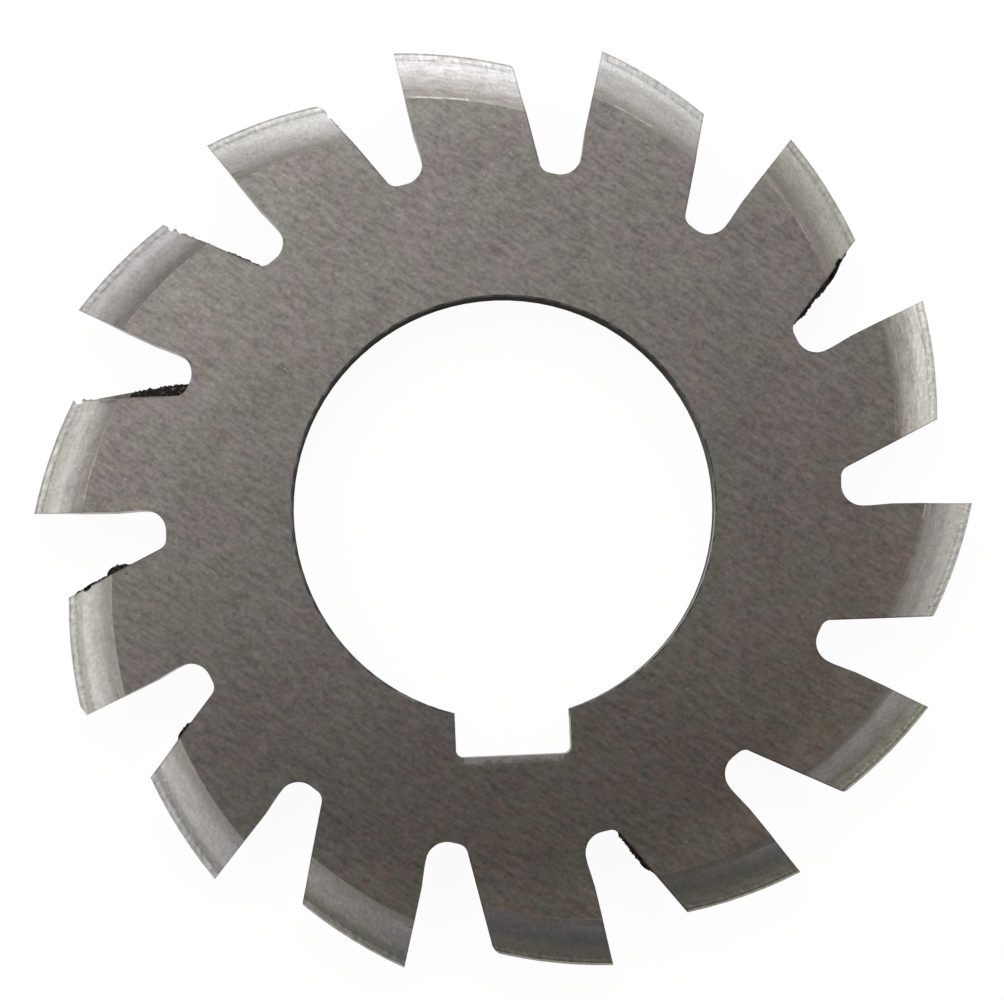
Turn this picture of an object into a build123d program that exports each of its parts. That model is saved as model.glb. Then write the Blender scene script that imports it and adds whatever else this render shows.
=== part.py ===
"""Form-relieved involute gear cutter: one steel disc with a keyed bore.

Millimetres and degrees. The bore axis is +Z, and the origin lies on it in the cutter's middle plane.
The keyway points to -Y. Seen from +Z the cutting faces look counter-clockwise, and teeth are
numbered clockwise, with tooth 1 nearest to +Y.
"""
from build123d import *
from math import atan2, cos, degrees, hypot, pi, radians, sin, tan
import os

# The disc and its bore.
TEETH = 14
OUTER_RADIUS = 24.5
WIDTH = 4.0
BORE_RADIUS = 11.0
BORE_CHAMFER = 0.1
KEYWAY_WIDTH = 6.0
KEYWAY_FLOOR = 12.9
KEYWAY_CORNER = 0.38
KEYWAY_BEVEL = 0.4
KEYWAY_BEVEL_DEPTH = 0.25

# The gear whose tooth space the cutter fills.
MODULE = 1.0
GEAR_TEETH = 21
PRESSURE_ANGLE = 20.0
GEAR_DEDENDUM = 1.2
GEAR_ADDENDUM = 1.0

# The tooth form: below the flank a bevel runs out to the side of the disc, and the tip has round corners.
BORDER_DEPTH = 2.58
RUN_OUT_ANGLE = 56.0
RUN_OUT_REACH = 0.75
TIP_CORNER = 0.28
TIP_CORNER_FLATS = 3
INVOLUTE_POINTS = 5

# Relief: how far the form sinks over one tooth pitch, and how far its border with the side does.
RELIEF_PER_PITCH = 2.36
BORDER_PER_PITCH = 2.0

# The gash between two teeth: the radial cutting face, a floor with two round corners and a sloping
# wall. The cutting face is ground down to FACE_GROUND_TO, and below it the gash is a little wider.
GASH_ANGLE = 27.0
GASH_FLOOR = 17.56
GASH_FLOOR_WIDTH = 1.77
GASH_FACE_CORNER = 1.1
GASH_WALL_CORNER = 0.6
FACE_GROUND_TO = 20.2
FACE_UNDERCUT = 0.09
FACE_UNDERCUT_RUN = 1.2
CUT_CLEARANCE = 1.0
SEARCH_STEPS = 40

# Angle from the keyway's centre line to the first cutting face counter-clockwise of it, on tooth 8.
KEYWAY_TO_FACE = 11.15
TOOTH_BY_KEYWAY = 8

# Worn heel corners: tooth and radius.
HEEL_ROUNDS = [(1, 0.4), (5, 0.2), (6, 0.3), (8, 0.75), (9, 0.25), (14, 0.7)]

# Chips in the back of a tooth: tooth, place down the wall from the heel, length and bite.
HEEL_CHIPS = [(12, 0.3, 0.5, 0.22), (13, 0.5, 0.45, 0.14), (13, 1.0, 0.3, 0.08), (14, 0.75, 0.4, 0.1)]

# Burrs and scale that stand on the back of a tooth: tooth, place, length, height and how far their
# top lies below the side of the disc.
HEEL_CRUSTS = [(3, 2.6, 2.6, 0.28, 1.0), (3, 4.4, 1.5, 0.17, 0.3), (7, 4.0, 2.7, 0.19, 0.3),
               (7, 3.4, 0.9, 0.23, 0.35), (10, 2.9, 0.9, 0.16, 0.8), (11, 2.8, 1.0, 0.33, 0.8),
               (11, 1.4, 1.0, 0.12, 1.2), (13, 4.4, 1.6, 0.05, 0.3)]

# Scale that thickens down the back of a tooth to the gash's floor: tooth, where it starts, height at
# its foot and how far its top lies below the side. WEDGE_CREST is its height halfway, as a share.
SCALE_WEDGES = [(12, 1.4, 0.62, 0.3)]
WEDGE_CREST = 0.56
CRUST_BOTTOM_GAP = 0.9
CRUST_ROOT = 0.1

# A chipped cutting edge: tooth, length along the land and depth.
TIP_CHIPS = [(11, 0.75, 0.24)]

GEAR_PITCH = MODULE * GEAR_TEETH / 2
GEAR_BASE = GEAR_PITCH * cos(radians(PRESSURE_ANGLE))
GEAR_TIP = GEAR_PITCH + MODULE * GEAR_ADDENDUM
GEAR_ROOT = GEAR_PITCH - MODULE * GEAR_DEDENDUM

PITCH = 360 / TEETH
TOOL_REACH = OUTER_RADIUS + CUT_CLEARANCE


def face_angle(tooth):
    """Angle of a tooth's cutting face, counter-clockwise from +X."""
    return KEYWAY_TO_FACE - 90 + (TOOTH_BY_KEYWAY - tooth) * PITCH


def involute_angle(pressure):
    """The involute function, in radians."""
    return tan(pressure) - pressure


def flank_point(gear_radius):
    """Depth below the cutting edge and half width, where the form makes this radius of the gear."""
    pressure = atan2(max(gear_radius**2 - GEAR_BASE**2, 0) ** 0.5, GEAR_BASE)
    half_space = pi / (2 * GEAR_TEETH) + involute_angle(pressure) - involute_angle(radians(PRESSURE_ANGLE))
    return (gear_radius * cos(half_space) - GEAR_ROOT, gear_radius * sin(half_space))


def relief_centre(depth, sink_per_pitch):
    """Centre of the arc that has the slope and the curvature of a relief spiral at the cutting face.

    The spiral starts on the cutting face, this far below the edge. The centre is given in the frame of
    the cutting face, with x outwards along it.
    """
    start = OUTER_RADIUS - depth
    slope = sink_per_pitch / (start * radians(PITCH))
    arc_radius = start * (1 + slope**2) ** 1.5 / (1 + 2 * slope**2)
    return (start - arc_radius * cos(atan2(slope, 1)), arc_radius * sin(atan2(slope, 1)))


def arc_distance(depth, centre):
    """Distance from an eccentric centre of a point on the cutting face, this far below its edge."""
    return hypot(OUTER_RADIUS - depth - centre[0], centre[1])


LAND_CENTRE = relief_centre(0, RELIEF_PER_PITCH)
LAND_RADIUS = arc_distance(0, LAND_CENTRE)
LAND_FALL = degrees(atan2(LAND_CENTRE[1], OUTER_RADIUS - LAND_CENTRE[0]))
BORDER_CENTRE = relief_centre(BORDER_DEPTH, BORDER_PER_PITCH)


def tip_corner(edge, flank_end):
    """Points of the tip corner's round, from the flank to the land."""
    turn = atan2(flank_end[1] - edge[1], flank_end[0] - edge[0]) - pi / 2
    centre = (edge[0] - TIP_CORNER, edge[1] - TIP_CORNER * tan(turn / 2))
    angles = [turn * (1 - i / TIP_CORNER_FLATS) for i in range(TIP_CORNER_FLATS + 1)]
    return [(centre[0] + TIP_CORNER * cos(angle), centre[1] + TIP_CORNER * sin(angle)) for angle in angles]


def form_section():
    """Section through the land's eccentric centre, which gives the true involute form on the face."""
    step = (GEAR_TIP - GEAR_BASE) / (INVOLUTE_POINTS - 1)
    flank = [flank_point(GEAR_TIP - i * step) for i in range(INVOLUTE_POINTS)]
    flank = [(arc_distance(depth, LAND_CENTRE), half_width) for depth, half_width in flank]
    edge = (LAND_RADIUS, GEAR_ROOT * flank[-1][1] / GEAR_BASE)
    corner = tip_corner(edge, flank[-1])

    upper = Polyline((0, 0), (0, flank[0][1]), flank[0]) + Spline(*flank)
    upper += Polyline(flank[-1], *corner, (edge[0], 0))
    return make_face(upper + mirror(upper, about=Plane.XZ))


def body_section():
    """Section of the full-width body through the border's eccentric centre, with the run-out bevel."""
    border = arc_distance(BORDER_DEPTH, BORDER_CENTRE)
    bevel_end = (border + RUN_OUT_REACH, WIDTH / 2 - RUN_OUT_REACH * tan(radians(RUN_OUT_ANGLE)))
    upper = Polyline((0, 0), (0, WIDTH / 2), (border, WIDTH / 2), bevel_end, (bevel_end[0], 0))
    return make_face(upper + mirror(upper, about=Plane.XZ))


def pitch_wedge():
    """The space of one tooth pitch, clockwise from a cutting face on +X."""
    rays = [Vector(2 * TOOL_REACH, 0).rotate(Axis.Z, -PITCH * share) for share in (0, 0.5, 1)]
    return extrude(make_face(Polyline((0, 0), *rays, (0, 0))), WIDTH, both=True)


def turned_about(section, centre):
    """A quarter turn of a section about its eccentric centre, clockwise from the cutting face on +X."""
    return Pos(*centre) * Rot(0, 0, -90) * revolve(Plane.XZ * section, Axis.Z, revolution_arc=90)


def relieved_sector():
    """One pitch of the blank, with its cutting face on +X: the sunk form and the body below it."""
    blank = turned_about(form_section(), LAND_CENTRE) + turned_about(body_section(), BORDER_CENTRE)
    return blank & pitch_wedge()


def gash_frame(tooth):
    """Frame of the gash ahead of a cutting face: x outwards along the face, y across the gash."""
    return Rot(0, 0, face_angle(tooth))


def wall_across(out):
    """How far the gash's sloping wall stands from the cutting face's plane, this far out from the axis."""
    return GASH_FLOOR_WIDTH + (out - GASH_FLOOR) * tan(radians(GASH_ANGLE))


def gash_outline():
    """Outline of the gash: ground face, undercut foot, floor with two round corners, sloping wall."""
    foot = FACE_GROUND_TO - FACE_UNDERCUT_RUN
    outline = make_face(Polyline((TOOL_REACH, 0), (FACE_GROUND_TO, 0), (foot, -FACE_UNDERCUT),
                                 (GASH_FLOOR, -FACE_UNDERCUT), (GASH_FLOOR, GASH_FLOOR_WIDTH),
                                 (TOOL_REACH, wall_across(TOOL_REACH)), (TOOL_REACH, 0)))
    wall_corner = outline.vertices().sort_by(Axis.X)[:2].sort_by(Axis.Y)[1]
    outline = fillet(wall_corner, GASH_WALL_CORNER)
    face_corner = outline.vertices().sort_by(Axis.X)[:2].sort_by(Axis.Y)[0]
    return fillet(face_corner, GASH_FACE_CORNER)


def heel_corner():
    """Where the gash's sloping wall meets the sunk land behind it, in the gash's frame."""
    low, high = GASH_FLOOR, TOOL_REACH
    for _ in range(SEARCH_STEPS):
        out = (low + high) / 2
        behind = Vector(out, wall_across(out)).rotate(Axis.Z, -PITCH)
        if hypot(behind.X - LAND_CENTRE[0], behind.Y - LAND_CENTRE[1]) < LAND_RADIUS:
            low = out
        else:
            high = out
    return (out, wall_across(out))


def wall_frame(tooth, place):
    """Frame on the back of a tooth, this far down from its heel: x down the wall, y out of the tooth."""
    corner = heel_corner()
    down = (corner[0] - place * cos(radians(GASH_ANGLE)), corner[1] - place * sin(radians(GASH_ANGLE)))
    return gash_frame(tooth + 1) * Pos(*down) * Rot(0, 0, GASH_ANGLE + 180)


def bow(length, height):
    """Flat bow: a straight chord on x with an arc of this height over it."""
    chord = Line((length / 2, 0), (-length / 2, 0))
    return make_face(chord + ThreePointArc((-length / 2, 0), (0, height), (length / 2, 0)))


def heel_round_cutter(tooth, radius):
    """Tool that rounds a heel corner between the back wall and the land."""
    corner = heel_corner()
    land_direction = degrees(atan2(corner[1], corner[0])) + 90 - LAND_FALL
    wall_direction = GASH_ANGLE + 180
    opening = wall_direction - land_direction
    leg = radius / tan(radians(opening / 2))
    reach = leg + CUT_CLEARANCE
    wall_touch = (leg * cos(radians(wall_direction)), leg * sin(radians(wall_direction)))
    land_touch = (leg * cos(radians(land_direction)), leg * sin(radians(land_direction)))
    middle_direction = radians((wall_direction + land_direction) / 2)
    middle_distance = radius / sin(radians(opening / 2)) - radius
    middle = (middle_distance * cos(middle_direction), middle_distance * sin(middle_direction))
    beyond = (-reach * cos(middle_direction), -reach * sin(middle_direction))
    outline = ThreePointArc(wall_touch, middle, land_touch) + Polyline(land_touch, beyond, wall_touch)
    tool = extrude(make_face(outline), WIDTH, both=True)
    return gash_frame(tooth + 1) * Pos(*corner) * tool


def heel_chip_cutter(tooth, place, length, bite):
    """Tool that bites a shallow scallop out of the back wall, right through the width."""
    scallop = bow(length, -bite) + Pos(0, bite / 2) * Rectangle(length, bite)
    return wall_frame(tooth, place) * extrude(scallop, WIDTH, both=True)


def crust_solid(outline, top_gap):
    """Scale of this outline, from a little above the bottom side to a little below the top side."""
    bottom = CRUST_BOTTOM_GAP - WIDTH / 2
    return Pos(0, 0, bottom) * extrude(outline, WIDTH - top_gap - CRUST_BOTTOM_GAP)


def heel_crust(tooth, place, length, height, top_gap):
    """Burr or scale that stands proud of the back wall."""
    lump = bow(length, height) + Pos(0, -CRUST_ROOT / 2) * Rectangle(length, CRUST_ROOT)
    return wall_frame(tooth, place) * crust_solid(lump, top_gap)


def scale_wedge(tooth, start, height, top_gap):
    """Scale that thickens down the back wall, and meets the gash's floor at its full height."""
    foot = (heel_corner()[0] - GASH_FLOOR) / cos(radians(GASH_ANGLE)) + CRUST_ROOT
    end = (foot + height * tan(radians(GASH_ANGLE)), height)
    crest = ThreePointArc((start, 0), ((start + end[0]) / 2, WEDGE_CREST * height), end)
    wedge = make_face(crest + Polyline(end, (foot, -CRUST_ROOT), (start, -CRUST_ROOT), (start, 0)))
    return wall_frame(tooth, 0) * crust_solid(wedge, top_gap)


def tip_chip_cutter(tooth, length, depth):
    """Tool that breaks off the end of a cutting edge, sloping up to the land."""
    outline = Polyline((OUTER_RADIUS - depth, 0), (TOOL_REACH, 0), (TOOL_REACH, -length),
                       (OUTER_RADIUS - depth / 2, -length), (OUTER_RADIUS - depth, 0))
    return gash_frame(tooth) * extrude(make_face(outline), WIDTH, both=True)


def bore_cutter():
    """The bore with a small chamfer at both faces."""
    chamfer_height = BORE_CHAMFER + CUT_CLEARANCE
    mouth = Cone(BORE_RADIUS, BORE_RADIUS + chamfer_height, chamfer_height,
                 align=(Align.CENTER, Align.CENTER, Align.MIN))
    mouth = Pos(0, 0, WIDTH / 2 - BORE_CHAMFER) * mouth
    return Cylinder(BORE_RADIUS, WIDTH + 2 * CUT_CLEARANCE) + mouth + mirror(mouth, about=Plane.XY)


def keyway_cutter():
    """The keyway at -Y, with round floor corners."""
    slot = Pos(0, -KEYWAY_FLOOR / 2) * Rectangle(KEYWAY_WIDTH, KEYWAY_FLOOR)
    slot = fillet(slot.vertices().sort_by(Axis.Y)[:2], KEYWAY_CORNER)
    return extrude(slot, WIDTH, both=True)


def keyway_bevel_cutter():
    """The filed bevel on the top edge of the keyway's floor."""
    top = WIDTH / 2
    edge = Polyline((-KEYWAY_FLOOR, top - KEYWAY_BEVEL_DEPTH), (-KEYWAY_FLOOR - KEYWAY_BEVEL, top),
                    (-KEYWAY_FLOOR, top), (-KEYWAY_FLOOR, top - KEYWAY_BEVEL_DEPTH))
    return extrude(Plane.YZ * make_face(edge), KEYWAY_WIDTH / 2 - KEYWAY_CORNER, both=True)


def gear_cutter():
    """The whole cutter: relieved sectors, gashed, worn, bored and keyed."""
    gash = extrude(gash_outline(), WIDTH, both=True)
    sector = relieved_sector() - gash - Rot(0, 0, -PITCH) * gash
    body = Part() + [gash_frame(tooth) * sector for tooth in range(1, TEETH + 1)]

    body += [heel_crust(*crust) for crust in HEEL_CRUSTS] + [scale_wedge(*wedge) for wedge in SCALE_WEDGES]
    body -= [heel_round_cutter(*worn) for worn in HEEL_ROUNDS]
    body -= [heel_chip_cutter(*chip) for chip in HEEL_CHIPS]
    body -= [tip_chip_cutter(*chip) for chip in TIP_CHIPS]
    body -= [bore_cutter(), keyway_cutter(), keyway_bevel_cutter()]
    return body


os.makedirs("parts", exist_ok=True)
export_step(gear_cutter(), "parts/gear_cutter.step")
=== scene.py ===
"""Looks of the involute gear cutter: one keyed disc of ground tool steel, lying flat on a white floor.

Scene units are metres, in the part's own frame: the bore axis is +Z, the origin lies on it in the
cutter's middle plane, and the keyway points to -Y. Inside the materials, lengths are millimetres.
Seen from +Z, the cutting faces look counter-clockwise, and teeth are numbered clockwise, with tooth 1
nearest to +Y.
"""
from math import atan2, cos, hypot, log, pi, radians, sin, tan
from random import Random

import bmesh
import bpy
from mathutils import Matrix, Vector


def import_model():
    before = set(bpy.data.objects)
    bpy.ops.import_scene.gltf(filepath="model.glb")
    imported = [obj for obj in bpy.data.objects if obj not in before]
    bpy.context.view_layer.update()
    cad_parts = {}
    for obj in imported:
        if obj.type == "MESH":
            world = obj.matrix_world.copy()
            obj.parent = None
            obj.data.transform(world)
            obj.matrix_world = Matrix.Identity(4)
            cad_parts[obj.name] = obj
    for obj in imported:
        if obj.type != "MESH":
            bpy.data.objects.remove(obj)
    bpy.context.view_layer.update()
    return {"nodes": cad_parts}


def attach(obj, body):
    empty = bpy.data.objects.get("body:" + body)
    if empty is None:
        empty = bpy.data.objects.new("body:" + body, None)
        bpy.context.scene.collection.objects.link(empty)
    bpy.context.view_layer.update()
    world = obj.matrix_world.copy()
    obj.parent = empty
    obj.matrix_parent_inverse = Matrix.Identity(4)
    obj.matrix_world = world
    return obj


MM_PER_METRE = 1000

# The cutter's own sizes, in millimetres and degrees.
TEETH = 14
PITCH = 360 / TEETH
OUTER_RADIUS = 24.5
HALF_WIDTH = 2.0
BORE_RADIUS = 11.0
KEYWAY_HALF = 3.0
KEYWAY_FLOOR = 12.9
KEYWAY_BEVEL = 0.4
RELIEF_PER_PITCH = 2.36
BORDER_DEPTH = 2.58
BORDER_PER_PITCH = 2.0
GASH_ANGLE = 27.0
GASH_FLOOR = 17.56
GASH_FLOOR_WIDTH = 1.77
TIP_RIM = 0.28
FIRST_FACE_ANGLE = 101.15
HEEL_OUT = 22.42

# Upward part of the normal on the run-out of the form, and on the chamfer of the bore.
RUN_OUT_FACING = 0.56
CHAMFER_FACING = 0.707

# How the relieving tool left the form, and the painted light and shade of each tooth: tooth, tone of its
# upper and of its lower half, which carry both, and how streaky it is. The other teeth have the plain finish
# below.
FORM_FINISHES_AND_SHADE = [(1, 0.95, 1.05, 0.5), (3, 0.75, 0.85, 0.2), (4, 1.2, 0.95, 0.6), (5, 1.1, 0.85, 0.2),
                 (6, 0.9, 1.0, 0.3), (7, 0.8, 0.62, 0.1), (8, 0.8, 0.66, 0.1), (9, 0.85, 0.9, 0.1),
                 (10, 1.05, 0.92, 0.1), (11, 1.1, 1.0, 0.25), (12, 0.95, 1.05, 0.3), (13, 0.85, 0.9, 0.1),
                 (14, 0.88, 0.98, 0.1)]
PLAIN_FINISH_AND_SHADE = (0.9, 1.0, 0.15)

# Tarnish: tooth, how much blue its form keeps near the tip and below, and how softly the form ends in the
# side. The other teeth have PLAIN_TARNISH.
TARNISHED = [(1, 1.02, 1.02, 0.2), (2, 1.02, 1.02, 0.1), (3, 0.96, 0.94, 1.0), (4, 1.0, 0.97, 1.0),
             (5, 1.0, 1.0, 0.8), (6, 0.89, 1.02, 0.5), (7, 0.87, 0.98, 0.2), (8, 0.90, 1.02, 0.0),
             (9, 0.95, 1.02, 0.3), (10, 1.03, 1.04, 0.3), (12, 1.0, 1.0, 0.0), (13, 1.05, 1.03, 0.0),
             (14, 1.02, 1.02, 0.0)]
PLAIN_TARNISH = (1.0, 1.0, 0.1)

# Painted highlight, a light line along the border of the form: tooth, where it starts and ends, and how light
# it is.
BORDER_HIGHLIGHTS = [(1, 0.3, 3.2, 0.75), (2, 1.2, 3.5, 0.5), (3, 2.8, 4.6, 0.4), (4, 4.0, 6.2, 0.3),
                (5, 0.1, 0.8, 0.8), (7, 2.6, 6.2, 0.3), (8, 0.1, 1.8, 0.15), (12, 0.5, 3.0, 0.4)]
NO_HIGHLIGHT = (0.0, 0.0, 0.0)

# Colours and tints of the ground side, of the relieved form, of the painted highlight, of painted shade and
# of burnt scale.
SIDE_LILAC = (0.428, 0.391, 0.386, 1)
SIDE_OLIVE = (0.412, 0.403, 0.373, 1)
SIDE_WARM_TINT = (1.02, 0.98, 0.92)
SIDE_RUST_TINT = (1.07, 0.97, 0.93)
FORM_AT_TIP = (0.622, 0.616, 0.600, 1)
FORM_BELOW = (0.622, 0.596, 0.596, 1)
FORM_BORDER_TINT = (1.0, 0.99, 0.93)
HIGHLIGHT_COLOUR = (0.88, 0.87, 0.86, 1)
SHADE_AND_SCALE_BLACK = (0.016, 0.015, 0.014, 1)
SHADE_AND_SCALE_GREY = (0.06, 0.056, 0.05, 1)
SCALE_BLACK = (0.010, 0.009, 0.008, 1)
SCALE_GREY = (0.16, 0.15, 0.13, 1)

# Roughness of the surfaces, and height of the marks on steel and of the lumps in scale, in metres.
SIDE_ROUGHNESS = 0.40
FORM_ROUGHNESS = 0.45
SHADE_AND_SCALE_ROUGHNESS = 0.7
MARK_HEIGHT = 0.00001
LUMP_HEIGHT = 0.00005

# Strokes of the surface grinder on the sides, counter-clockwise from +X.
GRIND_ANGLE = radians(145)
ALONG_STROKES = (cos(GRIND_ANGLE), sin(GRIND_ANGLE), 0)
ACROSS_STROKES = (-sin(GRIND_ANGLE), cos(GRIND_ANGLE), 0)

# Directions in which tones change over the disc, mostly for painted light and shade. PICTURE_DOWN allows for
# the camera's roll.
DOWN = (0, -1.0, 0)
PICTURE_DOWN = (0.09, -1.0, 0)
LEFT = (-1.0, 0.2, 0)
LOWER_RIGHT = (0.6, -0.8, 0)
TO_FLECKED_RIMS = (0.9, -0.4, 0)
TO_BORE_HIGHLIGHT = (0.76, -0.65, 0)
TO_LIT_BORE = (0.97, -0.25, 0)

# Scale and burrs on the backs of teeth: tooth, and its outline as places down the wall from the heel
# with its height there.
CRUSTS = [(3, [(0.35, 0.0), (0.9, 0.08), (1.5, 0.10), (2.2, 0.24), (2.75, 0.29), (3.2, 0.22), (3.6, 0.14),
               (4.5, 0.18), (5.1, 0.03)]),
          (7, [(2.6, 0.05), (2.8, 0.20), (3.1, 0.17), (3.5, 0.23), (4.2, 0.20), (4.5, 0.13), (5.0, 0.15),
               (5.3, 0.04)]),
          (10, [(2.3, 0.02), (2.5, 0.09), (2.85, 0.15), (3.1, 0.10), (3.3, 0.02)]),
          (11, [(0.02, 0.03), (0.6, 0.07), (1.1, 0.11), (1.8, 0.10), (2.0, 0.07), (2.25, 0.19), (2.75, 0.32),
                (3.1, 0.20), (3.3, 0.06)]),
          (12, [(0.9, 0.01), (1.5, 0.05), (2.1, 0.07), (2.6, 0.12), (2.8, 0.24), (3.0, 0.34), (3.3, 0.33),
                (3.6, 0.46), (4.0, 0.43), (4.4, 0.58), (4.8, 0.54), (5.3, 0.66), (5.6, 0.55)]),
          (13, [(3.4, 0.0), (3.8, 0.05), (4.6, 0.06), (5.2, 0.02)])]
CRUST_STEP = 0.07
CRUST_JITTER = 0.3
CRUST_ROOT = 0.12
CRUST_ROUGHNESS = 0.06
CRUST_TOP_GAP = 0.08
CRUST_BOTTOM = -0.9

# Section of the scale: share of its height, and how far down it lies there, as a share.
CRUST_SECTION = [(0.75, 0.0), (1.0, 0.2), (0.9, 0.5), (0.6, 1.0)]

# Height of a tooth's upper surface over the middle plane, by place down its back wall.
WALL_TOP = [(0.0, 0.5), (0.7, 0.58), (1.2, 0.66), (1.8, 0.85), (2.3, 1.2), (2.75, 1.9), (6.0, 1.9)]

# Bright ragged burrs on worn heels: tooth, place down the wall, length and height.
BURRS = [(12, 0.12, 0.2, 0.08), (12, 0.5, 0.16, 0.05), (13, 0.25, 0.2, 0.09), (13, 0.85, 0.24, 0.07),
         (13, 1.3, 0.16, 0.09), (13, 1.75, 0.2, 0.06), (13, 2.2, 0.18, 0.08), (14, 1.0, 0.16, 0.05)]
BURR_ROOT = 0.06
BURR_DEPTH = 0.35

# A burr from end to end, as shares of its length and of its height.
BURR_PROFILE = [(0.0, 0.2), (0.3, 0.8), (0.6, 1.0), (1.0, 0.15)]

# The camera looks down on the disc, from a little to the lower left, and is turned about its own axis.
CAMERA_PLACE = (-0.0040, -0.0077, 0.3326)
CAMERA_ROLL = radians(2.38)
CAMERA_LENS = 228.2
CAMERA_SENSOR = 36.0
AIM_RIGHT = -0.000075
AIM_UP = 0.000453

# The floor is a plain white glow by FLOOR_GLOW_SHARE, and for the rest it shows the light on its paint.
FLOOR_HALF = 0.6
FLOOR_PAINT = (0.9, 0.9, 0.9, 1)
FLOOR_GLOW = 1.06
FLOOR_GLOW_SHARE = 0.9

# Soft boxes: azimuth, distance out from the axis, height, size and level. The first is neutral, and the
# others are a little warmer.
SOFT_BOXES = [(90, 0.10, 0.12, 0.08, 2.8), (180, 0.15, 0.12, 0.12, 0.9), (150, 0.15, 0.12, 0.12, 0.7),
              (0, 0.15, 0.12, 0.12, 0.83), (210, 0.15, 0.12, 0.12, 0.46), (30, 0.10, 0.12, 0.08, 1.0),
              (135, 0.06, 0.12, 0.06, 1.1)]
NEUTRAL = (1.0, 1.0, 1.0)
WARM = (1.0, 0.975, 0.91)

# Soft patches of light in the room: azimuth, tilt from straight up, spread and level.
ROOM_GLOWS = [(90, 70, 22, 0.7), (60, 70, 14, 0.75), (330, 85, 35, 0.33), (210, 70, 22, 0.42)]
ROOM_LEVEL = 0.02


def relief_centre(depth, sink_per_pitch):
    """Centre of the eccentric arc that a relief follows, in the frame of the tooth's cutting face."""
    start = OUTER_RADIUS - depth
    slope = sink_per_pitch / (start * radians(PITCH))
    radius = start * (1 + slope**2) ** 1.5 / (1 + 2 * slope**2)
    return (start - radius * cos(atan2(slope, 1)), radius * sin(atan2(slope, 1)))


def arc_radius(depth, centre):
    """Radius of such an arc, which starts on the cutting face at this depth below the tip."""
    return hypot(OUTER_RADIUS - depth - centre[0], centre[1])


LAND_CENTRE = relief_centre(0, RELIEF_PER_PITCH)
LAND_RADIUS = arc_radius(0, LAND_CENTRE)
BORDER_CENTRE = relief_centre(BORDER_DEPTH, BORDER_PER_PITCH)
BORDER_RADIUS = arc_radius(BORDER_DEPTH, BORDER_CENTRE)


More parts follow.
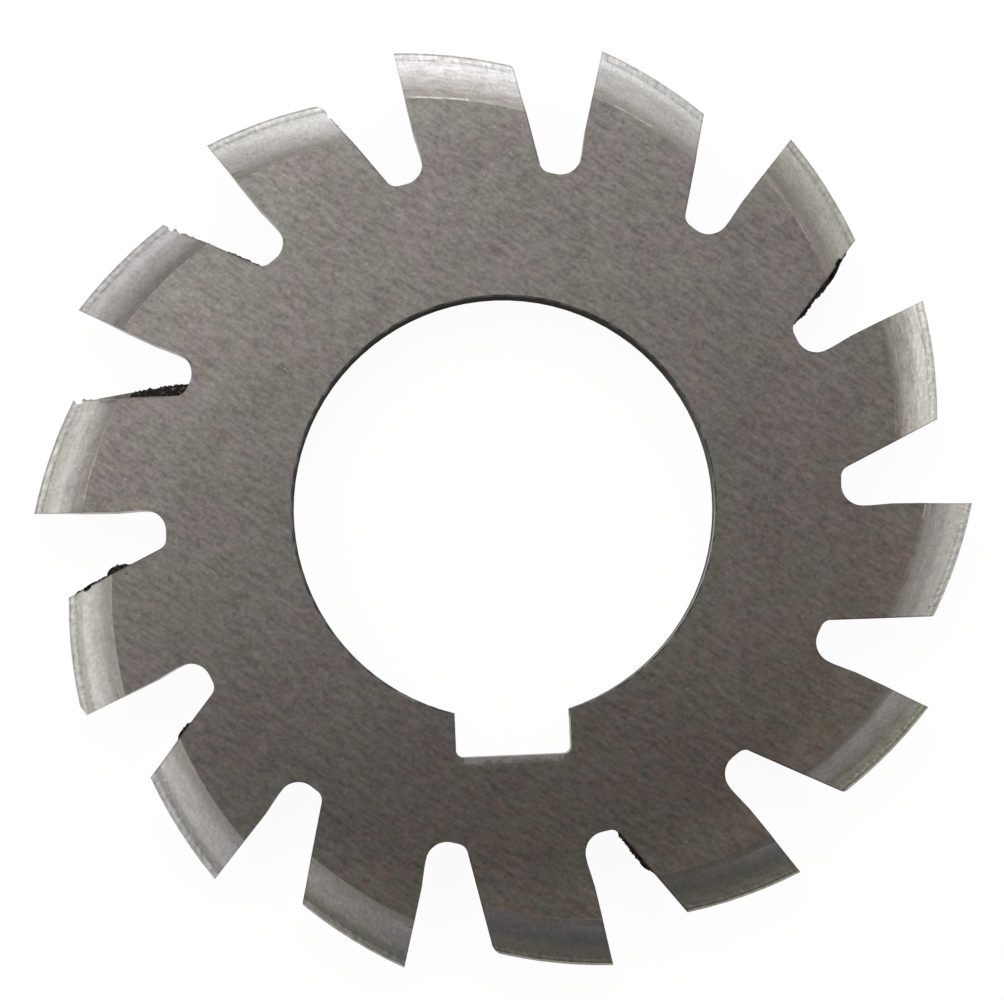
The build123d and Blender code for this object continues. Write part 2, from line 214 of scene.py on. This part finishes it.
class Shader:
    """Adds nodes to one node tree. Methods take sockets or plain values, and most return a socket."""

    # For each kind of mix, the number of its first value's input and of its output.
    MIX_SOCKETS = {"FLOAT": (2, 0), "VECTOR": (4, 1), "RGBA": (6, 2)}

    def __init__(self, tree):
        self.tree = tree
        tree.nodes.clear()

    def add(self, kind, *inputs, **settings):
        """A node with these settings, and these inputs in their order. None leaves an input as it is."""
        made = self.tree.nodes.new(kind)
        for name, value in settings.items():
            setattr(made, name, value)
        for socket, value in zip(made.inputs, inputs):
            self.join(value, socket)
        return made

    def node(self, kind, *inputs, output=0, **settings):
        return self.add(kind, *inputs, **settings).outputs[output]

    def join(self, value, socket):
        if isinstance(value, bpy.types.NodeSocket):
            self.tree.links.new(value, socket)
        elif value is not None:
            socket.default_value = value

    def join_named(self, made, values):
        for name, value in values.items():
            self.join(value, made.inputs[name])

    def math(self, operation, *inputs):
        return self.node("ShaderNodeMath", *inputs, operation=operation)

    def times(self, *factors):
        product = factors[0]
        for factor in factors[1:]:
            product = self.math("MULTIPLY", product, factor)
        return product

    def plus(self, *terms):
        total = terms[0]
        for term in terms[1:]:
            total = self.math("ADD", total, term)
        return total

    def minus(self, a, b):
        return self.math("SUBTRACT", a, b)

    def inverse(self, value):
        return self.minus(1.0, value)

    def larger(self, a, b):
        return self.math("MAXIMUM", a, b)

    def absolute(self, value):
        return self.math("ABSOLUTE", value)

    def pick(self, tooth, rows, rest):
        """Three values from this tooth's row, where teeth count from nought. The others have rest."""
        chosen = {row[0] - 1: row[1:] for row in rows}
        made = self.add("ShaderNodeValToRGB", self.times(self.plus(tooth, 0.5), 1 / TEETH))
        made.color_ramp.interpolation = "CONSTANT"
        stops = made.color_ramp.elements
        stops.remove(stops[1])
        for i in range(TEETH):
            stop = stops.new(i / TEETH) if i else stops[0]
            stop.color = (*chosen.get(i, rest), 1)
        return self.separate(made.outputs[0])

    def vector(self, operation, *inputs, output=0):
        return self.node("ShaderNodeVectorMath", *inputs, operation=operation, output=output)

    def along(self, vector, direction):
        """How far a vector reaches in a fixed direction."""
        return self.vector("DOT_PRODUCT", vector, direction, output=1)

    def distance(self, a, b):
        return self.vector("DISTANCE", a, b, output=1)

    def combine(self, x=0.0, y=0.0, z=0.0):
        return self.node("ShaderNodeCombineXYZ", x, y, z)

    def separate(self, vector):
        return self.add("ShaderNodeSeparateXYZ", vector).outputs[:]

    def ramp(self, value, low, high, start=0.0, end=1.0):
        """Smooth step: start where value is low, end where it is high."""
        return self.node("ShaderNodeMapRange", value, low, high, start, end, interpolation_type="SMOOTHSTEP")

    def fall(self, value, low, high):
        """Smooth step down: one where value is low, none where it is high."""
        return self.ramp(value, low, high, 1.0, 0.0)

    def band(self, value, middle, half, edge):
        """One within half of middle, falling to none over edge."""
        return self.fall(self.absolute(self.minus(value, middle)), half, half + edge)

    def noise(self, vector, scale=1.0, detail=2.0, roughness=0.5, distortion=0.0):
        made = self.add("ShaderNodeTexNoise", vector)
        self.join_named(made, {"Scale": scale, "Detail": detail, "Roughness": roughness,
                               "Distortion": distortion})
        return made.outputs[0]

    def swing(self, noise, amount):
        """A noise turned into a swing of this much about nought."""
        return self.times(self.minus(noise, 0.5), amount)

    def blend(self, kind, factor, a, b, **settings):
        """One value where factor is nought, and the other where it is one."""
        first, output = self.MIX_SOCKETS[kind]
        made = self.add("ShaderNodeMix", factor, data_type=kind, **settings)
        self.join(a, made.inputs[first])
        self.join(b, made.inputs[first + 1])
        return made.outputs[output]

    def mix(self, factor, a, b):
        return self.blend("FLOAT", factor, a, b)

    def mix_vector(self, factor, a, b):
        return self.blend("VECTOR", factor, a, b)

    def mix_colour(self, factor, a, b):
        return self.blend("RGBA", factor, a, b)

    def tinted(self, colour, factor, tint):
        """A colour multiplied by a tint, as far as factor goes."""
        return self.blend("RGBA", factor, colour, (*tint, 1), blend_type="MULTIPLY")

    def shaded(self, colour, tone):
        """A colour multiplied by one number."""
        return self.vector("MULTIPLY", colour, self.combine(tone, tone, tone))

    def grey(self, level, green=1.0, blue=1.0):
        """A grey of this level, with less green and blue in it where these are under one."""
        return self.combine(level, self.times(level, green), self.times(level, blue))

    def own_place(self):
        """Place on the object itself, in millimetres."""
        return self.vector("MULTIPLY", self.node("ShaderNodeTexCoord", output=3), (MM_PER_METRE,) * 3)

    def bump(self, relief, strength, height, normal=None):
        """The normal of a relief of this height, laid over a normal."""
        made = self.add("ShaderNodeBump")
        self.join_named(made, {"Strength": strength, "Distance": height, "Height": relief, "Normal": normal})
        return made.outputs[0]

    def surface(self, inputs):
        """Ends the tree in a principled surface with these inputs."""
        made = self.add("ShaderNodeBsdfPrincipled")
        self.join_named(made, inputs)
        self.add("ShaderNodeOutputMaterial", made.outputs[0])


def new_material(name):
    """An empty node material."""
    material = bpy.data.materials.new(name)
    material.use_nodes = True
    return material


class ToothPlace:
    """Where a point of the cutter lies on its tooth and which way it faces, as sockets in millimetres."""

    def __init__(self, s):
        self.place = s.own_place()
        x, y, self.z = s.separate(self.place)
        self.height = s.absolute(self.z)
        flat = s.combine(x, y)
        self.radius = s.vector("LENGTH", flat, output=1)
        self.outward = s.vector("NORMALIZE", flat)
        turns = s.times(s.minus(radians(FIRST_FACE_ANGLE), s.math("ARCTAN2", y, x)), 1 / radians(PITCH))
        turns = s.math("FLOORED_MODULO", turns, float(TEETH))
        self.tooth = s.math("FLOOR", turns)
        past_face = s.times(s.math("FRACT", turns), radians(PITCH))
        self.measure_form(s, past_face)
        self.measure_gash(s, s.minus(radians(PITCH), past_face))
        self.measure_normal(s)

    def measure_form(self, s, past_face):
        """Run and distance from the cutting face, depth below the land, and height above the border."""
        self.run = s.times(past_face, self.radius)
        self.from_face = s.times(self.radius, s.math("SINE", past_face))
        local = s.combine(s.times(self.radius, s.math("COSINE", past_face)), s.times(self.from_face, -1.0))
        self.depth = s.minus(LAND_RADIUS, s.distance(local, (*LAND_CENTRE, 0)))
        self.above_border = s.minus(s.distance(local, (*BORDER_CENTRE, 0)), BORDER_RADIUS)

    def measure_gash(self, s, to_next):
        """Distance in front of the tooth's back wall, and whether the point is clear of the gash's floor."""
        out = s.minus(s.times(self.radius, s.math("COSINE", to_next)), GASH_FLOOR)
        across = s.minus(s.times(self.radius, s.math("SINE", to_next)), GASH_FLOOR_WIDTH)
        slope = tan(radians(GASH_ANGLE))
        self.from_heel = s.times(s.minus(across, s.times(out, slope)), cos(radians(GASH_ANGLE)))
        self.clear_of_floor = s.ramp(out, 0.1, 0.6)

    def measure_normal(self, s):
        """How far the surface faces up. upright_z is its height on upright walls, and nought elsewhere."""
        geometry = s.add("ShaderNodeNewGeometry")
        self.normal = geometry.outputs["Normal"]
        self.up = s.separate(geometry.outputs["True Normal"])[2]
        self.facing = s.absolute(self.up)
        self.upright = s.fall(self.facing, 0.03, 0.12)
        self.upright_z = s.times(self.upright, self.z)


class ToothLook:
    """How the form of the point's tooth was left, with its painted light and shade, as sockets."""

    def __init__(self, s, tooth):
        self.upper, self.lower, self.streaks = s.pick(tooth, FORM_FINISHES_AND_SHADE, PLAIN_FINISH_AND_SHADE)
        self.tip_blue, self.lower_blue, self.softness = s.pick(tooth, TARNISHED, PLAIN_TARNISH)
        self.line_start, self.line_end, self.line_light = s.pick(tooth, BORDER_HIGHLIGHTS, NO_HIGHLIGHT)


def side_marks(s, at):
    """The grinder's strokes, and the swing of tone from them and from grain, scratches and specks."""
    along = s.along(at.place, ALONG_STROKES)
    across = s.along(at.place, ACROSS_STROKES)
    strokes = s.noise(s.combine(s.times(along, 1.15), s.times(across, 3.3), at.z), detail=3.0, roughness=0.65)
    grain = s.noise(at.place, scale=4.6, detail=2.0)
    scratch = s.noise(s.combine(s.times(along, 0.35), s.times(across, 9.0), at.z), detail=1.0)
    blotch = s.noise(at.place, scale=0.4, detail=2.0)
    speck = s.ramp(s.noise(at.place, scale=4.2, detail=1.0), 0.72, 0.80)
    return strokes, s.plus(s.swing(strokes, 1.15), s.swing(grain, 0.7), s.swing(scratch, 0.25),
                           s.swing(blotch, 0.3), s.times(speck, 0.4))


def painted_side_shade(s, at):
    """Painted light and shade over the side: darker to the lower right and round the keyway, lighter at the
    left.
    """
    lower_right = s.along(at.place, LOWER_RIGHT)
    down = s.along(at.place, DOWN)
    left = s.ramp(s.along(at.place, LEFT), 12.0, 20.0, 1.0, 1.1)
    inner = s.times(s.ramp(down, 6.0, 15.0, 1.0, 0.87), s.ramp(down, -18.0, -12.0, 0.92, 1.0))
    outer = s.ramp(lower_right, 4.0, 18.0, 1.0, 1.12)
    return s.times(s.ramp(lower_right, -20.0, 18.0, 1.02, 0.87), left,
                   s.mix(s.ramp(at.radius, 18.0, 21.0), inner, outer))


def side_colour(s, at, marks):
    """Surface-ground side, between lilac and olive, and warmer and rustier to the lower right, under painted
    light and shade.
    """
    lower_right = s.along(at.place, LOWER_RIGHT)
    colour = s.mix_colour(s.ramp(s.noise(at.place, scale=0.3), 0.38, 0.62), SIDE_LILAC, SIDE_OLIVE)
    colour = s.tinted(colour, s.ramp(lower_right, 2.0, 20.0), SIDE_WARM_TINT)
    rusty = s.ramp(s.noise(at.place, scale=1.3, detail=1.0), 0.45, 0.65)
    rusty = s.times(rusty, s.ramp(lower_right, -5.0, 18.0, 0.3, 1.0))
    colour = s.tinted(colour, rusty, SIDE_RUST_TINT)
    return s.shaded(colour, s.times(s.plus(1.0, marks), painted_side_shade(s, at)))


def tool_marks(s, at, look):
    """Swing of tone from the relieving tool's fine marks alone, and from all its marks."""
    offset = s.plus(s.times(at.tooth, 3.7), s.times(at.upright_z, 5.0))
    streak = s.noise(s.combine(s.times(at.run, 1.2), s.times(at.depth, 6.5), offset), detail=3.0,
                     roughness=0.65, distortion=0.4)
    line = s.noise(s.combine(s.times(at.run, 1.6), s.times(at.depth, 15.0), offset), detail=2.0)
    cross = s.noise(s.combine(s.times(at.run, 6.5), s.times(at.depth, 1.5), offset), detail=1.0)
    grain = s.noise(s.combine(at.run, at.depth, offset), scale=6.5, detail=2.0)
    fine = s.plus(s.swing(line, 0.25), s.swing(grain, 0.6))
    return fine, s.plus(s.times(s.swing(streak, 1.8), look.streaks), s.swing(cross, 0.15), fine)


def form_tint(s, at, look):
    """Colour of the relieved form: neutral at the tip, lilac below it and yellower at the border."""
    colour = s.mix_colour(s.ramp(at.depth, 0.5, 2.1), FORM_AT_TIP, FORM_BELOW)
    blue = s.mix(s.ramp(at.depth, 0.7, 1.3), look.tip_blue, look.lower_blue)
    colour = s.vector("MULTIPLY", colour, s.combine(1.0, 1.0, blue))
    return s.tinted(colour, s.fall(at.above_border, 0.05, 0.9), FORM_BORDER_TINT)


def form_specks(s, at):
    """Bright specks, denser near the rims on the right."""
    right = s.ramp(s.along(at.place, TO_FLECKED_RIMS), 10.0, 18.0)
    sparse = s.mix(s.times(s.band(at.depth, 0.34, 0.06, 0.1), right), 0.70, 0.59)
    return s.ramp(s.minus(s.noise(at.place, scale=5.5, detail=1.0), sparse), 0.0, 0.08)


def form_tone(s, at, look, marks):
    """Tone of the form below the rim: marks, patches and specks, and darker towards the border."""
    patch = s.noise(s.combine(at.run, s.times(at.depth, 1.5), s.times(at.tooth, 5.1)), scale=1.1, detail=2.0)
    patches = s.times(s.swing(patch, 0.6), s.plus(0.3, look.streaks))
    tone = s.plus(1.0, marks, patches, s.times(form_specks(s, at), 0.4))
    # Tone of each tooth's upper and lower half: partly its finish, partly painted light and shade.
    tone = s.times(tone, s.mix(s.ramp(at.depth, 0.8, 1.3), look.upper, look.lower))
    # Painted shade near the border of the form, lifted on the teeth at the bottom of the picture.
    shade = s.ramp(s.along(at.place, PICTURE_DOWN), 13.0, 21.0, 0.66, 1.05)
    tone = s.times(tone, s.ramp(at.above_border, 0.15, 0.85, shade, 1.02))
    dip = s.times(s.band(at.above_border, 0.24, 0.08, 0.15), s.ramp(look.softness, 0.9, 1.0))
    return s.times(tone, s.mix(dip, 1.0, 0.62))


def rim_lines(s, at, look):
    """Fine lines close to the rim of a streaky tooth."""
    offset = s.plus(at.tooth, s.times(at.upright_z, 12.0))
    line = s.noise(s.combine(s.times(at.run, 0.2), s.times(at.depth, 22.0), offset), detail=1.0)
    zone = s.times(s.fall(at.depth, 0.35, 0.7), look.streaks)
    return s.plus(1.0, s.times(s.swing(line, 2.2), zone))


def painted_rim_light(s, at):
    """Painted light on the tip's round corner: lighter at the top of the disc, and just below it lighter at
    the bottom, with a broken dark line below it.
    """
    down = s.along(at.place, PICTURE_DOWN)
    rim = s.mix(s.ramp(at.depth, TIP_RIM - 0.08, TIP_RIM), s.ramp(down, -18.0, 6.0, 1.18, 0.88), 1.0)
    edge = s.mix(s.ramp(at.depth, 0.07, 0.13), 0.85, 1.0)
    lift = s.mix(s.band(at.depth, TIP_RIM + 0.03, 0.08, 0.07), 1.0, s.ramp(down, -20.0, 18.0, 1.0, 1.3))
    offset = s.plus(at.tooth, s.times(at.upright_z, 4.0))
    marks = s.noise(s.combine(s.times(at.run, 4.0), s.times(at.depth, 3.0), offset), detail=1.0)
    broken = s.mix(s.ramp(at.depth, 0.35, 0.55), s.plus(0.97, s.swing(marks, 0.9)), 1.0)
    line = s.times(s.band(at.depth, TIP_RIM + 0.11, 0.02, 0.08), s.ramp(marks, 0.3, 0.6, 1.0, 0.7))
    return s.times(rim, edge, lift, broken, s.mix(line, 1.0, 0.72))


def form_colour(s, at, look, marks):
    """Relieved form, from its rim to its border."""
    tone = s.times(form_tone(s, at, look, marks), rim_lines(s, at, look), painted_rim_light(s, at))
    return s.shaded(form_tint(s, at, look), tone)


def painted_edge_shade(s, at):
    """Painted shade: a dark hairline where the top of a tooth breaks into the gash."""
    heel = s.times(s.fall(at.from_heel, 0.02, 0.10), at.clear_of_floor)
    face = s.times(s.fall(at.from_face, 0.02, 0.07), at.clear_of_floor)
    return s.times(s.mix(heel, 1.0, 0.6), s.mix(face, 1.0, 0.8))


def border_highlight(s, at, look):
    """Painted highlight: a thin broken light line where the form runs out to the side."""
    inside = s.times(s.math("GREATER_THAN", at.run, look.line_start),
                     s.math("LESS_THAN", at.run, look.line_end))
    place = s.combine(s.times(at.run, 1.1), s.times(at.tooth, 2.3))
    broken = s.times(s.ramp(s.noise(place, detail=1.0), 0.30, 0.5),
                     s.ramp(s.noise(place, scale=5.0, detail=1.0), 0.25, 0.55))
    wander = s.swing(s.noise(place, scale=0.8, detail=0.0), 0.08)
    line = s.band(s.plus(at.above_border, wander), 0.05, 0.02, 0.04)
    return s.times(line, inside, broken, look.line_light)


def with_lines(s, at, look, colour):
    """A colour with the painted shade of hairlines at the gashes and the painted highlight along the border
    of the form.
    """
    return s.mix_colour(border_highlight(s, at, look), s.shaded(colour, painted_edge_shade(s, at)), HIGHLIGHT_COLOUR)


def leant_normal(s, at, look):
    """The run-out's shading leans up, so that it carries on the flank, and the tip's leans outwards."""
    upwards = s.math("SIGN", at.up)
    run_out = s.times(s.band(at.facing, RUN_OUT_FACING, 0.05, 0.06), s.fall(at.above_border, 0.8, 0.9))
    lean = s.mix(s.times(s.fall(at.above_border, 0.0, 0.6), look.softness), 0.42, 0.97)
    normal = s.mix_vector(s.times(run_out, lean), at.normal, s.combine(0.0, 0.0, upwards))
    tip = s.times(s.ramp(at.depth, 0.24, 0.30), s.fall(at.depth, 0.60, 0.80), s.ramp(at.facing, 0.9, 0.95))
    leaning = s.vector("ADD", s.vector("SCALE", at.outward), s.combine(0.0, 0.0, s.times(upwards, 4.4)))
    return s.vector("NORMALIZE", s.mix_vector(tip, normal, s.vector("NORMALIZE", leaning)))


def with_keyway_bevel(s, at, colour):
    """A colour with the filed bevel on the keyway's floor edge: rough, bitten below, and past its end."""
    x, y, _ = s.separate(at.place)
    below_floor = s.minus(s.times(y, -1.0), KEYWAY_FLOOR)
    wander = s.swing(s.noise(at.place, scale=2.2, detail=3.0, roughness=0.6), 1.5)
    ends = s.fall(s.minus(s.absolute(x), wander), KEYWAY_HALF - 0.2, KEYWAY_HALF + 0.05)
    flat = s.ramp(at.facing, 0.9, 0.95)
    scratched = s.fall(s.plus(below_floor, wander), KEYWAY_BEVEL + 0.02, KEYWAY_BEVEL + 0.14)
    filed = s.times(s.ramp(at.z, 1.6, 1.7), s.band(below_floor, 0.5, 0.5, 0.05), ends,
                    s.mix(flat, 1.0, scratched))
    bites = s.ramp(s.plus(below_floor, s.times(wander, 0.7)), KEYWAY_BEVEL - 0.25, KEYWAY_BEVEL - 0.05)
    rubbed_and_lit = s.noise(s.combine(s.times(x, 2.5), s.times(y, 7.0)), detail=2.0)
    level = s.times(s.plus(0.172, s.swing(rubbed_and_lit, 0.10)), s.mix(flat, s.mix(bites, 1.0, 0.62), 2.2))
    return s.mix_colour(filed, colour, s.grey(level, 0.97, 0.93))


def with_bore_chamfer(s, at, colour):
    """A colour with the worn chamfer of the bore."""
    chamfer = s.times(s.band(at.facing, CHAMFER_FACING, 0.05, 0.05),
                      s.fall(at.radius, BORE_RADIUS + 0.2, BORE_RADIUS + 0.3))
    worn = s.ramp(s.noise(at.place, scale=1.6), 0.42, 0.62, 0.12, 0.28)
    return s.mix_colour(chamfer, colour, s.grey(worn, 0.98, 0.94))


def dark_places(s, at, bore):
    """Painted shade on back walls and the bore, less at its highlight, and the tops of scale, apart from the
    bare end of tooth 12.
    """
    below_land = s.ramp(at.depth, 0.10, 0.16)
    # Painted highlight: less shade on the bore's upper edge towards the lower right.
    rubbed_and_lit = s.times(s.ramp(s.along(at.place, TO_BORE_HIGHLIGHT), 6.5, 9.5), s.ramp(at.z, 0.0, 0.8))
    back = s.fall(s.absolute(at.from_heel), 0.2, 0.35)
    wall = s.times(at.upright, below_land, s.larger(back, s.times(bore, s.inverse(s.times(rubbed_and_lit, 0.8)))))
    scale = s.times(s.ramp(at.facing, 0.995, 0.999), s.band(at.height, 1.3, 0.62, 0.03),
                    s.ramp(at.up, 0.0, 0.5))
    bare = s.times(s.band(at.tooth, 11, 0.4, 0.05), s.ramp(at.radius, 20.0, 20.3))
    return s.times(s.larger(wall, scale), s.inverse(bare))


def dark_colour(s, at, bore):
    """Painted shade, black with grey specks, which also colours the tops of scale, and the bore's painted
    grey, lighter towards the right.
    """
    specks = s.ramp(s.noise(at.place, scale=6.0, detail=2.0), 0.5, 0.75)
    shade_and_scale = s.mix_colour(specks, SHADE_AND_SCALE_BLACK, SHADE_AND_SCALE_GREY)
    # Painted light: the bore's grey gets lighter towards the right.
    level = s.ramp(s.along(at.place, TO_LIT_BORE), 6.0, 10.5, 0.09, 0.20)
    return s.mix_colour(bore, shade_and_scale, s.grey(level, 1.0, 0.94))


def steel_material():
    """Ground sides, relieved form, and back walls and bore in painted shade, told apart by place and
    direction.
    """
    material = new_material("ground_tool_steel_look")
    s = Shader(material.node_tree)
    at = ToothPlace(s)
    look = ToothLook(s, at.tooth)
    strokes, side_swing = side_marks(s, at)
    fine_marks, marks = tool_marks(s, at, look)

    side = s.ramp(at.height, HALF_WIDTH - 0.012, HALF_WIDTH - 0.004)
    merging = s.times(s.fall(at.above_border, 0.0, 0.45), look.softness)
    bore = s.fall(at.radius, BORE_RADIUS + 0.2, BORE_RADIUS + 0.5)
    dark = dark_places(s, at, bore)

    colour = s.mix_colour(s.larger(side, merging), form_colour(s, at, look, marks),
                          side_colour(s, at, side_swing))
    colour = with_lines(s, at, look, colour)
    colour = s.mix_colour(dark, colour, dark_colour(s, at, bore))
    colour = with_bore_chamfer(s, at, with_keyway_bevel(s, at, colour))

    roughness = s.plus(s.mix(side, FORM_ROUGHNESS, SIDE_ROUGHNESS), s.times(marks, 0.06))
    relief = s.mix(side, fine_marks, strokes)
    s.surface({"Base Color": colour, "Roughness": s.mix(dark, roughness, SHADE_AND_SCALE_ROUGHNESS),
               "Metallic": s.inverse(dark), "Specular IOR Level": 0.0,
               "Normal": s.bump(relief, 0.5, MARK_HEIGHT, leant_normal(s, at, look))})
    return material


def scale_material():
    """Burnt scale: black and rough, with grey specks."""
    material = new_material("scale_look")
    s = Shader(material.node_tree)
    lumps = s.noise(s.own_place(), scale=5.0, detail=3.0, roughness=0.7)
    s.surface({"Base Color": s.mix_colour(s.ramp(lumps, 0.54, 0.68), SCALE_BLACK, SCALE_GREY),
               "Roughness": s.ramp(lumps, 0.4, 0.7, 0.9, 0.6),
               "Normal": s.bump(lumps, 0.8, LUMP_HEIGHT)})
    return material


def floor_material():
    """White for the camera and in reflections, with a part of the real light so that it keeps the shadow."""
    material = new_material("floor_white")
    s = Shader(material.node_tree)
    path = s.add("ShaderNodeLightPath")
    seen = s.larger(path.outputs["Is Camera Ray"], path.outputs["Is Glossy Ray"])
    white = s.node("ShaderNodeEmission", (1.0, 1.0, 1.0, 1), FLOOR_GLOW)
    paint = s.node("ShaderNodeBsdfDiffuse", FLOOR_PAINT)
    share = s.times(seen, FLOOR_GLOW_SHARE)
    s.add("ShaderNodeOutputMaterial", s.node("ShaderNodeMixShader", share, paint, white))
    return material


def level_at(outline, place):
    """Height of an outline at a place, straight between its points, and none outside them."""
    for (start, low), (end, high) in zip(outline, outline[1:]):
        if start <= place <= end:
            return low + (high - low) * (place - start) / (end - start)
    return 0.0


def by_wall(tooth, down, out, z):
    """A point by the back wall of a tooth: this far down from the heel, out of the tooth, and up."""
    slope = radians(GASH_ANGLE)
    x = HEEL_OUT - down * cos(slope) + out * sin(slope)
    y = GASH_FLOOR_WIDTH + (HEEL_OUT - GASH_FLOOR) * tan(slope) - down * sin(slope) - out * cos(slope)
    turn = radians(FIRST_FACE_ANGLE - tooth * PITCH)
    return Vector((x * cos(turn) - y * sin(turn), x * sin(turn) + y * cos(turn), z)) / MM_PER_METRE


def linked(name, data):
    """A new object in the scene."""
    made = bpy.data.objects.new(name, data)
    bpy.context.scene.collection.objects.link(made)
    return made


def skin(name, rings, material):
    """A closed piece through rings of points, which rides with the cutter."""
    shape = bmesh.new()
    loops = [[shape.verts.new(point) for point in ring] for ring in rings]
    for near, far in zip(loops, loops[1:]):
        for i, vertex in enumerate(near):
            j = (i + 1) % len(near)
            shape.faces.new((vertex, near[j], far[j], far[i]))
    shape.faces.new(loops[0])
    shape.faces.new(loops[-1])
    bmesh.ops.recalc_face_normals(shape, faces=shape.faces)
    mesh = bpy.data.meshes.new(name)
    shape.to_mesh(mesh)
    shape.free()
    mesh.materials.append(material)
    piece = linked(name, mesh)
    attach(piece, "root")


def crust_ring(draw, tooth, down, height):
    """Section of the scale at one place: rooted in the wall, bulging out, rough."""
    top = level_at(WALL_TOP, down) - CRUST_TOP_GAP
    section = [(draw.uniform(-CRUST_ROOT, 0.3 * height), top)]
    section += [(share * height, top - fall * (top - CRUST_BOTTOM)) for share, fall in CRUST_SECTION]
    section.append((-CRUST_ROOT, CRUST_BOTTOM))
    ring = []
    for out, z in section:
        rough = CRUST_ROUGHNESS if out > 0 else 0.0
        ring.append(by_wall(tooth, down + draw.uniform(-CRUST_JITTER, CRUST_JITTER) * CRUST_STEP,
                            out + draw.uniform(-rough, rough), z + draw.uniform(-rough, rough)))
    return ring


def build_crusts():
    """Rough black scale over the plain lumps on the backs of some teeth."""
    material = scale_material()
    for tooth, outline in CRUSTS:
        draw = Random(tooth)
        start, end = outline[0][0], outline[-1][0]
        count = int((end - start) / CRUST_STEP)
        places = [start + (end - start) * i / count for i in range(count + 1)]
        rings = [crust_ring(draw, tooth, down, level_at(outline, down)) for down in places]
        skin(f"scale_{tooth}", rings, material)


def burr_ring(tooth, place, out, top):
    """Section of a burr at one place: rooted in the wall, and sharpest near its top."""
    return [by_wall(tooth, place, -BURR_ROOT, top), by_wall(tooth, place, out, top - 0.03),
            by_wall(tooth, place, out * 0.7, top - 0.3), by_wall(tooth, place, -BURR_ROOT, top - BURR_DEPTH)]


def build_burrs(material):
    """Small torn slivers of bright steel on worn heels."""
    for number, (tooth, down, length, height) in enumerate(BURRS, 1):
        draw = Random(100 + number)
        top = level_at(WALL_TOP, down)
        rings = [burr_ring(tooth, down + share * length, height * size * draw.uniform(0.7, 1.0), top)
                 for share, size in BURR_PROFILE]
        skin(f"burr_{number}", rings, material)


def build_floor():
    """A white floor under the cutter."""
    mesh = bpy.data.meshes.new("floor")
    level = -HALF_WIDTH / MM_PER_METRE
    corners = [(sx * FLOOR_HALF, sy * FLOOR_HALF, level) for sx, sy in ((-1, -1), (1, -1), (1, 1), (-1, 1))]
    mesh.from_pydata(corners, [], [(0, 1, 2, 3)])
    mesh.materials.append(floor_material())
    linked("floor", mesh)


def build_camera():
    """The camera over the disc, rolled so that the keyway lies in the picture as in the photograph."""
    camera = linked("camera", bpy.data.cameras.new("camera"))
    camera.data.lens = CAMERA_LENS
    camera.data.sensor_width = CAMERA_SENSOR
    up = Vector((sin(CAMERA_ROLL), cos(CAMERA_ROLL), 0))
    right = Vector((cos(CAMERA_ROLL), -sin(CAMERA_ROLL), 0))
    target = up * AIM_UP + right * AIM_RIGHT
    back = (Vector(CAMERA_PLACE) - target).normalized()
    across = up.cross(back).normalized()
    above = back.cross(across)
    turn = Matrix((across, above, back)).transposed().to_4x4()
    camera.matrix_world = Matrix.Translation(CAMERA_PLACE) @ turn
    bpy.context.scene.camera = camera


def soft_box(name, azimuth, out, height, size, level, colour):
    """Square soft box that looks at the origin. level is the brightness of its face, where 1 is white."""
    light = bpy.data.lights.new(name, "AREA")
    light.shape = "SQUARE"
    light.size = size
    light.energy = level * pi * size**2
    light.color = colour
    lamp = linked(name, light)
    place = Vector((out * cos(radians(azimuth)), out * sin(radians(azimuth)), height))
    lamp.location = place
    lamp.rotation_euler = place.to_track_quat("Z", "Y").to_euler()
    lamp.visible_camera = False


def glow(s, direction, azimuth, tilt, spread, level):
    """Soft patch of light in the surroundings, half as bright at spread degrees from its middle."""
    middle = (sin(radians(tilt)) * cos(radians(azimuth)), sin(radians(tilt)) * sin(radians(azimuth)),
              cos(radians(tilt)))
    fade = log(2) / (1 - cos(radians(spread)))
    nearness = s.minus(s.along(direction, middle), 1.0)
    return s.times(s.math("EXPONENT", s.times(nearness, fade)), level)


def build_light():
    """A horseshoe of soft boxes close to the cutter, open towards the bottom of the picture."""
    for number, box in enumerate(SOFT_BOXES, 1):
        soft_box(f"soft_box_{number}", *box, NEUTRAL if number == 1 else WARM)
    world = bpy.data.worlds.new("studio")
    bpy.context.scene.world = world
    world.use_nodes = True
    s = Shader(world.node_tree)
    direction = s.vector("NORMALIZE", s.node("ShaderNodeTexCoord"))
    light = s.plus(ROOM_LEVEL, *(glow(s, direction, *patch) for patch in ROOM_GLOWS))
    s.add("ShaderNodeOutputWorld", s.node("ShaderNodeBackground", (*WARM, 1), light))


def main():
    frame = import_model()
    bpy.context.scene.view_settings.view_transform = "Standard"

    cutter = frame["nodes"]["gear_cutter"]
    steel = steel_material()
    cutter.material_slots[0].material = steel
    build_crusts()
    build_burrs(steel)

    build_floor()
    build_camera()
    build_light()


main()
